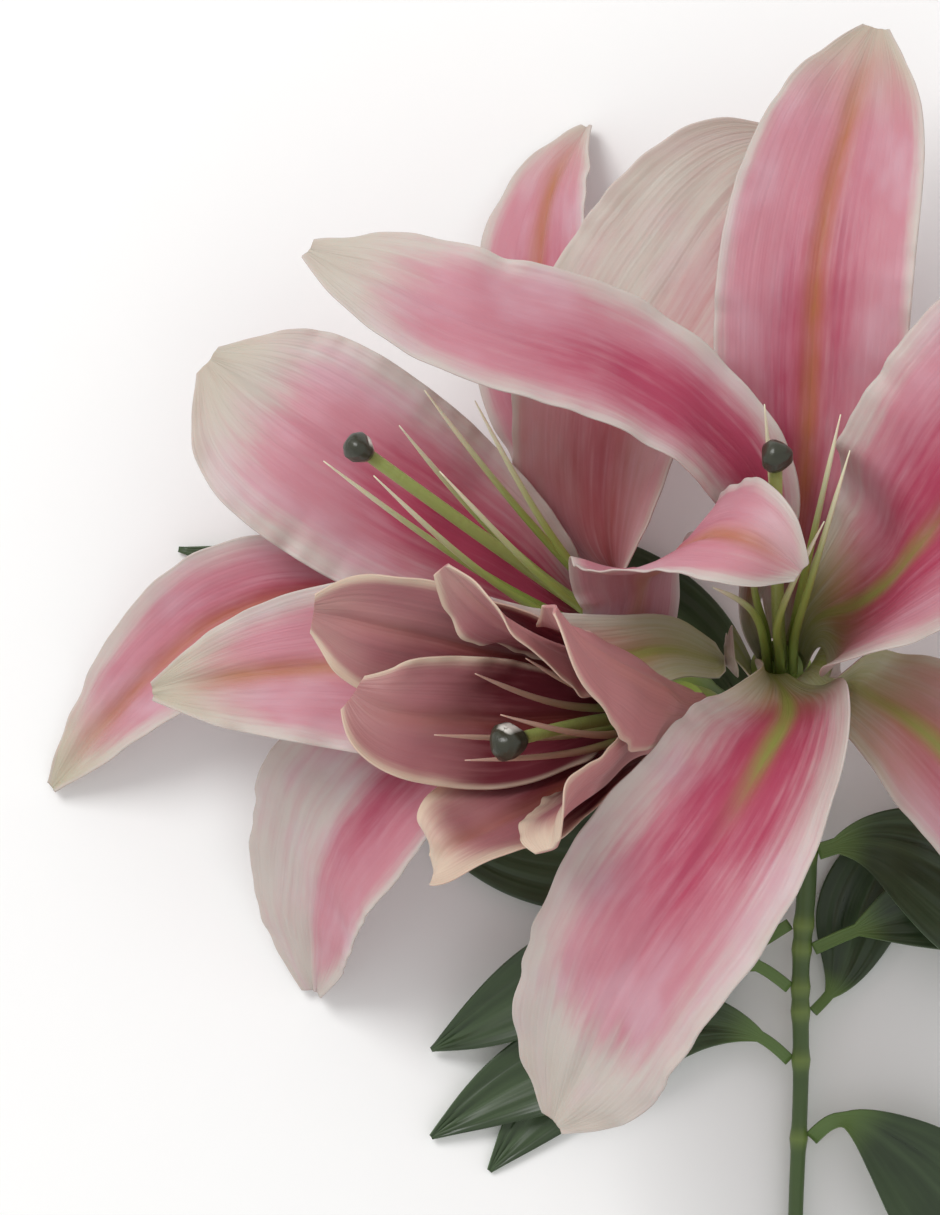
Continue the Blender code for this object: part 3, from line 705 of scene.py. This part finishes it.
def profile(outline, shares):
    """An outline's width share at each share of the length, smooth and never below the narrower end's."""
    at, width = np.asarray(outline, float).T
    return np.maximum(spline(at, width, shares)[:, 0], min(width))


def flower_frame(flower):
    """The flower's axis, and the directions of twelve and three o'clock round it."""
    axis = unit(flower.axis)
    top = unit(np.array((0, 1, 0)) - axis[1] * axis)
    return axis, top, np.cross(top, axis)


def seat(flower, clock, radius):
    """A point just above the receptacle, radius from its centre, and its direction from the axis."""
    axis, top, side = flower_frame(flower)
    angle = np.radians(clock)
    outward = np.cos(angle) * top + np.sin(angle) * side
    return np.asarray(flower.base, float) + outward * radius + axis * SEAT_GAP, outward


def sheet_points(places, directions, facing, half_width, arc, twist, across, ripple):
    """Rows of points across a curved sheet: one row for each place, bent into an arc that faces `facing`."""
    normal = unit(facing - np.sum(facing * directions, axis=1, keepdims=True) * directions)
    side = np.cross(directions, normal)
    turn = np.radians(twist)[:, None]
    turned_normal = normal * np.cos(turn) + side * np.sin(turn)
    turned_side = side * np.cos(turn) - normal * np.sin(turn)
    arc = np.radians(arc)[:, None]
    radius = half_width[:, None] * 2 / arc
    angle = arc / 2 * across
    sideways = radius * np.sin(angle)
    upwards = radius * (1 - np.cos(angle)) + ripple
    places = places[:, None] + turned_side[:, None] * sideways[..., None]
    return places + turned_normal[:, None] * upwards[..., None]


def soft_step(value, low, high):
    """0 below low, 1 above high, and a smooth rise between."""
    share = np.clip((value - low) / (high - low), 0, 1)
    return share * share * (3 - 2 * share)


def ridge(distance, width):
    """A smooth hump: 1 where the distance is 0, and nearly 0 from two widths away."""
    return np.exp(-((distance / width) ** 2))


def undulation(rng, along, across, wavelength):
    """Smooth bumps about one wavelength apart, mostly between -1 and 1."""
    total = np.zeros(np.broadcast(along, across).shape)
    for _ in range(UNDULATION_WAVES):
        heading = rng.uniform(0, np.pi)
        wave_number = 2 * np.pi / (wavelength * rng.uniform(0.7, 1.5))
        distance = along * np.cos(heading) + across * np.sin(heading)
        total += np.sin(wave_number * distance + rng.uniform(0, 6.28))
    return total / (UNDULATION_WAVES / 2)


def add_piece(node, points, faces, fields, material):
    """A smooth piece that rides on the part in place of a plain solid, with numbers stored at its points."""
    name = f"{node}_fine"
    mesh = bpy.data.meshes.new(name)
    mesh.from_pydata((CUT_END + np.asarray(points) * MM).tolist(), [], faces)
    mesh.shade_smooth()
    for label, values in fields.items():
        attribute = mesh.attributes.new(label, "FLOAT", "POINT")
        attribute.data.foreach_set("value", np.asarray(values, np.float32).ravel())
    mesh.materials.append(material)
    piece = bpy.data.objects.new(name, mesh)
    bpy.context.scene.collection.objects.link(piece)
    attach(piece, "root")
    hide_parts(node)


def add_sheet(node, points, half_thickness, fields, material):
    """A closed sheet round a grid of points. A field is one grid, or a face's and a back's."""
    normals = unit(np.cross(np.gradient(points, axis=0), np.gradient(points, axis=1)))
    half = normals * half_thickness[..., None]
    vertices = np.concatenate([(points - half).reshape(-1, 3), (points + half).reshape(-1, 3)])
    rows, columns = points.shape[:2]
    index = np.arange(rows * columns).reshape(rows, columns)
    back = rows * columns
    quads = np.stack([index[:-1, :-1], index[:-1, 1:], index[1:, 1:], index[1:, :-1]], axis=-1).reshape(-1, 4)
    rim = np.concatenate([index[0, :-1], index[:-1, -1], index[-1, :0:-1], index[:0:-1, 0]])
    following = np.roll(rim, -1)
    edge = np.stack([following, rim, rim + back, following + back], axis=-1)
    faces = np.concatenate([quads, quads[:, ::-1] + back, edge]).tolist()
    stored = {}
    for label, grid in fields.items():
        sides = grid if isinstance(grid, tuple) else (grid, grid)
        stored[label] = np.concatenate([(side * np.ones((rows, columns))).ravel() for side in sides])
    add_piece(node, vertices, faces, stored, material)


def add_tube(node, places, directions, radii, sides, fields, material):
    """A tube with closed ends. radii has one radius for each place, or one for each point of each ring."""
    # Any direction across the tube will do to start its rings from.
    guide = np.array((0.0, 0.0, 1.0)) if abs(directions[0][2]) < 0.8 else np.array((1.0, 0.0, 0.0))
    angles = np.linspace(0, 2 * np.pi, sides, endpoint=False)[:, None]
    radii = np.asarray(radii, float).reshape(len(places), -1) * np.ones((1, sides))
    rings = []
    for place, direction, radius in zip(places, directions, radii):
        guide = unit(guide - np.dot(guide, direction) * direction)
        other = np.cross(direction, guide)
        rings.append(place + radius[:, None] * (np.cos(angles) * guide + np.sin(angles) * other))
    first = np.arange((len(rings) - 1) * sides)
    following = first - first % sides + (first % sides + 1) % sides
    faces = np.stack([first, following, following + sides, first + sides], axis=-1).tolist()
    faces.append(list(range(sides - 1, -1, -1)))
    faces.append(list(range((len(rings) - 1) * sides, len(rings) * sides)))
    along = distances(places)[:, None] * np.ones((1, sides))
    round_it = np.cos(angles.T) * radii.mean() * np.ones((len(rings), 1))
    stored = {"along": along, "across": round_it}
    for label, grid in fields.items():
        stored[label] = np.asarray(grid, float).reshape(len(rings), -1) * np.ones((1, sides))
    add_piece(node, np.concatenate(rings), faces, stored, material)


def facing_axis(flower, places, shares):
    """The way that a petal's inner side faces: towards the flower's axis low down, along it further out."""
    axis = flower_frame(flower)[0]
    from_base = places - np.asarray(flower.base, float)
    inward = -unit(from_base - (from_base @ axis)[:, None] * axis)
    start, length = OPENING
    opening = flower.openness * np.clip((shares - start) / length, 0, 1)[:, None]
    return inward * (1 - opening) + axis * opening


def add_petal(node, petal, bloom, material, settings, seed):
    """A petal with a channelled middle, waved edges, soft undulations and a thin rim."""
    rng = np.random.default_rng(seed)
    flower = FLOWERS[petal.flower]
    base, outward = seat(flower, petal.clock, PETAL_RING[petal.ring])
    neck = base + flower_frame(flower)[0] * PETAL_NECK + outward * flower.lean
    shares = 1 - (1 - np.linspace(0, 1, PETAL_ROWS + 1)) ** TIP_CROWDING
    places, directions = line_through((base, neck, *petal.midrib), shares)
    half_width = petal.width / 2 * profile(PETAL_OUTLINES[petal.outline], shares)
    across = np.sin(np.linspace(-1, 1, PETAL_COLUMNS + 1) * EDGE_CROWDING) / np.sin(EDGE_CROWDING)
    u, v, side = shares[:, None], across[None, :], np.abs(across)[None, :]
    along = distances(places)[:, None]
    sideways = v * half_width[:, None]
    unrolled = v * petal.width / 2

    grown = soft_step(u, *RELIEF_START) * (1 - 0.6 * soft_step(u, *RELIEF_END))
    wave = petal.ruffle * np.sin(2 * np.pi * petal.waves * u) * np.clip(u * 2, 0, 1)
    height = wave * v**3
    edges = PETAL_EDGES_APART * np.sign(v)
    frill = undulation(rng, along, edges, FRILL_LENGTH)
    frill = frill + 0.5 * undulation(rng, along, edges, SMALL_FRILL_LENGTH)
    height += settings.frill / MM * frill * side**5 * grown
    height += SWELL_HEIGHT * undulation(rng, along, unrolled, SWELL_LENGTH) * grown * (1 - side**6)
    height -= FOLD_DEPTH * ridge(sideways, FOLD_WIDTH) * grown
    height += SHOULDER_HEIGHT * ridge(np.abs(sideways) - SHOULDER_PLACE, SHOULDER_WIDTH) * grown
    height += bloom.crease * (side - 0.5) * grown * soft_step(side, 0, 0.2)
    arc = np.interp(shares, ARC_SHARES, (PETAL_BASE_ARC[petal.ring], *petal.arc))
    twist = np.interp(shares, TWIST_SHARES, (0, *petal.twist))
    facing = facing_axis(flower, places, shares)
    points = sheet_points(places, directions, facing, half_width, arc, twist, across, height)

    # The colour's bounds wander from side to side.
    wander = 0.08 * np.sin(u * 9 + rng.uniform(0, 6))
    from_edge = (1 - side) * half_width[:, None]
    start, end = bloom.reach
    covered = soft_step(u, start - 0.12, start + 0.1) * (1 - soft_step(u, end - 0.14, end + 0.08))
    blush = soft_step(from_edge + 6 * wander, -0.3 * bloom.edge, 1.5 * bloom.edge) * covered
    if petal.flower == "middle":
        core = bloom.deep * (1 - soft_step(u, *CORE_END))
    else:
        core = ridge(v + wander, 0.6) * soft_step(u, start - 0.1, start + 0.08)
        core = bloom.deep * core * (1 - 0.9 * soft_step(u, 0.5 * end, end - 0.05))
    one_side, other_side = bloom.pale
    white = (other_side + (one_side - other_side) * soft_step(v, -0.2, 0.25)) * soft_step(u, *WHITE_START)
    blush = blush * (1 - 0.8 * white)
    core = core * (1 - white)
    strength, groove_end = bloom.groove
    fading = 1 - soft_step(u, groove_end - GROOVE_FADE, groove_end)
    groove = strength * ridge(sideways, GROOVE_WIDTH) * fading
    throat = 0.9 * strength * (1 - soft_step(u, 0.06, groove_end**2))
    rib = bloom.rib * ridge(sideways, RIB_WIDTH) * soft_step(u, *RIB_START) * (1 - soft_step(u, *RIB_END))
    rim_width = RIM_WIDTH[petal.flower]
    fields = {
        "along": along,
        "across": unrolled,
        "blush": blush,
        "core": tuple(share * core for share in CORE_SHARES[petal.flower]),
        "groove": tuple(share * np.maximum(groove, throat) for share in GROOVE_SHARES[petal.flower]),
        "rib": rib,
        "tip": bloom.tip * soft_step(u, *TIP_START),
        "rim": 0.7 * (1 - soft_step(from_edge, 0.2 * rim_width, rim_width)) * soft_step(u, *RIM_START),
        "outside": (0.0, 1.0),
    }
    thin, thick = settings.edge_thickness / MM, settings.thickness / MM
    half_thickness = (thin + (thick - thin) * (1 - side**3)) / 2 * np.ones((PETAL_ROWS + 1, 1))
    add_sheet(node, points, half_thickness, fields, material)


def add_leaf(node, leaf, material, settings, seed):
    """A leaf with a sunk midrib, shallow parallel veins, wavy edges and a short stalk."""
    rng = np.random.default_rng(seed)
    shares = np.linspace(0, 1, LEAF_ROWS + 1)
    places, directions = line_through(leaf.midrib, shares)
    blade = np.clip((shares - leaf.stalk_share) / (1 - leaf.stalk_share), 0, 1)
    width = np.maximum(leaf.width * profile(LEAF_OUTLINE, blade), LEAF_STALK_WIDTH * (shares < 0.5))
    across = np.linspace(-1, 1, LEAF_COLUMNS + 1)
    u, v, side = shares[:, None], across[None, :], np.abs(across)[None, :]
    along = distances(places)[:, None]
    grown = soft_step(blade[:, None], 0.05, 0.3)
    sideways = v * width[:, None] / 2
    height = -LEAF_FOLD_DEPTH * ridge(sideways, LEAF_FOLD_WIDTH) * grown
    height += LEAF_VEIN_HEIGHT * np.cos(v * LEAF_VEINS * np.pi) * grown * (1 - side**4)
    waves = undulation(rng, along, LEAF_EDGES_APART * np.sign(v), LEAF_WAVE_LENGTH)
    height += LEAF_WAVE_HEIGHT * waves * side**3 * grown
    upwards = np.tile((0.0, 0.0, 1.0), (len(shares), 1))
    arc = np.full(len(shares), leaf.arc)
    points = sheet_points(places, directions, upwards, width / 2, arc, 0 * shares, across, height)
    fields = {
        "along": along,
        "across": v * leaf.width / 2,
        "rib": ridge(sideways, LEAF_RIB_WIDTH),
        "stalk": 1 - soft_step(u, leaf.stalk_share, leaf.stalk_share + 0.12),
        "outside": (0.0, 0.8),
    }
    half_thickness = settings.leaf_thickness / MM * (1 - 0.5 * side**2) / 2 * np.ones((len(shares), 1))
    add_sheet(node, points, half_thickness, fields, material)


def add_stem(material):
    """The stem, with a low collar where each leaf grows from it."""
    shares = np.linspace(0, 1, STEM_ROWS + 1)
    places, directions = line_through(STEM_LINE, shares)
    radii = np.interp(shares, np.linspace(0, 1, len(STEM_RADII)), STEM_RADII)
    collar = np.zeros(len(shares))
    for leaf in LEAVES.values():
        collar += ridge(places[:, 1] - leaf.midrib[0][1], COLLAR_WIDTH)
    collar = np.minimum(collar, 1)
    radii = np.minimum(radii + COLLAR_HEIGHT * collar, places[:, 2] - FLOOR_GAP)
    fields = {"pale": 0.45 * collar}
    add_tube("stem", places, directions, radii, STEM_SIDES, fields, material)


def add_stalk(node, flower, material):
    """A flower's stalk, widening into the receptacle."""
    start = np.asarray(STEM_LINE[-1], float)
    start = start + unit(flower.stalk[0] - start) * STALK_GAP
    axis = unit(flower.axis)
    shares = np.linspace(0, 1, STALK_ROWS + 1)
    line = (start, *flower.stalk, flower.base - axis * RECEPTACLE_LENGTH, flower.base)
    places, directions = line_through(line, shares)
    directions[-1] = axis
    at, radius = np.array(STALK_WIDENING).T
    radii = np.interp(shares, at, radius)
    fields = {"pale": soft_step(shares, 0.5, 0.95)}
    add_tube(node, places, directions, radii, STEM_SIDES, fields, material)


def add_filament(node, flower, clock, tip, flushed, material):
    """A bare filament, tapering to a point. flushed is how pink it is beyond its base."""
    axis = flower_frame(flower)[0]
    base, outward = seat(flower, clock, FILAMENT_RING)
    leaning = [base + axis * height + outward * lean for height, lean in FILAMENT_LEAN]
    shares = np.linspace(0, 1, FILAMENT_ROWS + 1)
    places, directions = line_through((base, *leaning, tip), shares)
    at, radius = np.array(FILAMENT_TAPER).T
    radii = np.interp(shares, at, radius)
    fields = {"share": shares, "flushed": flushed * soft_step(shares, 0.2, 0.6)}
    add_tube(node, places, directions, radii, FILAMENT_SIDES, fields, material)


def add_pistil(node, flower, tip, stigma_radius, material):
    """A thin style that ends in a round stigma of three lobes."""
    base = seat(flower, 0, 0)[0]
    line = np.array((base, base + flower_frame(flower)[0] * PISTIL_NECK, tip))
    style_end = 1 - 2 * stigma_radius / distances(line)[-1]
    at, share = np.array(STIGMA_OUTLINE).T
    knob_at = np.linspace(0, 1, STIGMA_ROWS + 1)[1:]
    shares = np.concatenate([np.linspace(0, style_end, STYLE_ROWS), style_end + (1 - style_end) * knob_at])
    places, directions = line_through(line, shares)
    knob = np.interp(knob_at, (0, *at), (PISTIL_RADIUS / stigma_radius, *share)) * stigma_radius
    radii = np.concatenate([np.full(STYLE_ROWS, PISTIL_RADIUS), knob])
    angles = np.linspace(0, 2 * np.pi, PISTIL_SIDES, endpoint=False)
    on_knob = soft_step(shares, style_end - 0.01, style_end + 0.02)[:, None]
    radii = radii[:, None] * (1 + on_knob * LOBE_DEPTH * (np.cos(3 * angles) - 0.5))
    # A painted highlight: a white spot on one side of the stigma, short of its tip.
    painted_highlight = on_knob * soft_step(np.cos(angles - 1.2), 0.8, 1.0) * (shares[:, None] < 0.97)
    fields = {"knob": on_knob, "painted_highlight": painted_highlight}
    add_tube(node, places, directions, radii, PISTIL_SIDES, fields, material)


def add_petals(kind, flowers, colours, settings):
    """The petals of the named flowers. Each has a material of its own, so that no two are marked alike."""
    for seed, (node, petal) in enumerate(PETALS.items()):
        if petal.flower in flowers:
            material = petal_material(f"{kind} petal {seed + 1}", seed * 3.0, colours)
            add_petal(node, petal, BLOOMS[node], material, settings, seed)


class LILY_OT_open_petals(bpy.types.Operator):
    """Builds the petals of the two open flowers"""

    bl_idname = "lily.open_petals"
    bl_label = "Open Petals"

    def execute(self, context):
        petals = context.scene.lily.petals
        colours = {
            "margin": petals.margin,
            "pink": petals.pink,
            "deep": petals.deep_pink,
            "rib": petals.rib,
            "groove": petals.groove,
            "tip": petals.tip,
            "painted_sheen": linear(PETAL_SHEEN),
            "outside": linear(PETAL_OUTSIDE),
            "outside_share": 0.3,
            "grain": 0.5,
        }
        add_petals("open", ("right", "left"), colours, petals)
        return {"FINISHED"}


class LILY_OT_trumpet_petals(bpy.types.Operator):
    """Builds the petals of the half-open trumpet"""

    bl_idname = "lily.trumpet_petals"
    bl_label = "Trumpet Petals"

    def execute(self, context):
        petals = context.scene.lily.petals
        colours = {
            "margin": petals.trumpet_margin,
            "pink": petals.trumpet_lobe,
            "deep": petals.trumpet_depth,
            "rib": petals.rib,
            "groove": linear(TRUMPET_GROOVE),
            "tip": petals.trumpet_margin,
            "painted_sheen": linear(TRUMPET_SHEEN),
            "outside": linear(TRUMPET_OUTSIDE),
            "outside_share": 0.85,
            "grain": 3.0,
        }
        add_petals("trumpet", ("middle",), colours, petals)
        return {"FINISHED"}


class LILY_OT_stamens(bpy.types.Operator):
    """Builds the filaments and pistils of all three flowers"""

    bl_idname = "lily.stamens"
    bl_label = "Stamens"

    def execute(self, context):
        stamens = context.scene.lily.stamens
        filament = filament_material(stamens)
        pistil = pistil_material(stamens)
        for name, flower in FLOWERS.items():
            add_pistil(f"{name}_pistil", flower, PISTIL_TIPS[name], STIGMA_RADIUS[name], pistil)
            flushed = 0.8 if name == "middle" else 0.0
            for number_in_ring, tip in enumerate(FILAMENT_TIPS[name]):
                node = f"{name}_filament_{number_in_ring + 1}"
                add_filament(node, flower, FILAMENT_SPACING * number_in_ring, tip, flushed, filament)
        return {"FINISHED"}


class LILY_OT_greens(bpy.types.Operator):
    """Builds the stem, the flower stalks and the leaves"""

    bl_idname = "lily.greens"
    bl_label = "Stem and Leaves"

    def execute(self, context):
        greens = context.scene.lily.greens
        stem = stem_material(greens)
        add_stem(stem)
        for name, flower in FLOWERS.items():
            add_stalk(f"stalk_{name}", flower, stem)
        leaf_skin = leaf_material(greens)
        for seed, (node, leaf) in enumerate(LEAVES.items()):
            add_leaf(node, leaf, leaf_skin, greens, 100 + seed)
        return {"FINISHED"}


class LILY_OT_stage(bpy.types.Operator):
    """Builds the floor, the lights and the camera"""

    bl_idname = "lily.stage"
    bl_label = "Stage"

    def execute(self, context):
        stage = context.scene.lily.stage
        scene = context.scene
        floor_mesh = bpy.data.meshes.new("floor")
        turns = ((-1, -1), (1, -1), (1, 1), (-1, 1))
        corners = [(x * FLOOR_HALF, y * FLOOR_HALF, -FLOOR_DROP) for x, y in turns]
        floor_mesh.from_pydata(corners, [], [(0, 1, 2, 3)])
        # Pressed paper: matt, with a faint uneven grain.
        material, shader, add, _ = new_material("matt paper floor", 0.9, 0.1)
        grain = add("MULTIPLY", add("NOISE", 300.0, 3.0), 0.05)
        link(shader, Base_Color=add("MIX", grain, stage.floor, linear(FLOOR_FIBRES)))
        floor_mesh.materials.append(material)
        floor = bpy.data.objects.new("floor", floor_mesh)
        scene.collection.objects.link(floor)

        world = bpy.data.worlds.new("studio")
        world.use_nodes = True
        world.node_tree.nodes["Background"].inputs["Color"].default_value = (1, 1, 1, 1)
        world.node_tree.nodes["Background"].inputs["Strength"].default_value = stage.sky
        scene.world = world

        key = bpy.data.lights.new("key", "AREA")
        key.energy = stage.key_power
        key.size = KEY_SIZE
        key_light = bpy.data.objects.new("key", key)
        key_light.location = KEY_PLACE
        key_light.rotation_euler = np.radians(KEY_TILT)
        scene.collection.objects.link(key_light)

        camera = bpy.data.cameras.new("camera")
        camera.sensor_fit = "VERTICAL"
        camera.sensor_height = SENSOR_HEIGHT
        camera.lens = stage.lens
        view = bpy.data.objects.new("camera", camera)
        across, along = CAMERA_AIM
        view.location = CUT_END + np.array((across * MM, along * MM, stage.camera_height))
        scene.collection.objects.link(view)
        scene.camera = view
        scene.view_settings.view_transform = "Standard"
        return {"FINISHED"}


class LILY_PT_panel(bpy.types.Panel):
    """Lists the lily's operators and settings"""

    bl_idname = "LILY_PT_panel"
    bl_label = "Cut Lily"
    bl_space_type = "VIEW_3D"
    bl_region_type = "UI"
    bl_category = "Lily"

    def draw(self, context):
        lily = context.scene.lily
        for operator in OPERATORS:
            self.layout.operator(operator.bl_idname)
        for group in (lily.petals, lily.stamens, lily.greens, lily.stage):
            box = self.layout.box()
            for name in group.__annotations__:
                box.prop(group, name)


OPERATORS = (LILY_OT_open_petals, LILY_OT_trumpet_petals, LILY_OT_stamens, LILY_OT_greens, LILY_OT_stage)
GROUPS = (PetalSettings, StamenSettings, GreenSettings, StageSettings, LilySettings)
CLASSES = (*GROUPS, *OPERATORS, LILY_PT_panel)


def register():
    for each in CLASSES:
        bpy.utils.register_class(each)
    bpy.types.Scene.lily = bpy.props.PointerProperty(type=LilySettings)


def unregister():
    del bpy.types.Scene.lily
    for each in reversed(CLASSES):
        bpy.utils.unregister_class(each)


def main():
    register()
    bpy.ops.lily.open_petals()
    bpy.ops.lily.trumpet_petals()
    bpy.ops.lily.stamens()
    bpy.ops.lily.greens()
    bpy.ops.lily.stage()


if __name__ == "__main__":
    main()
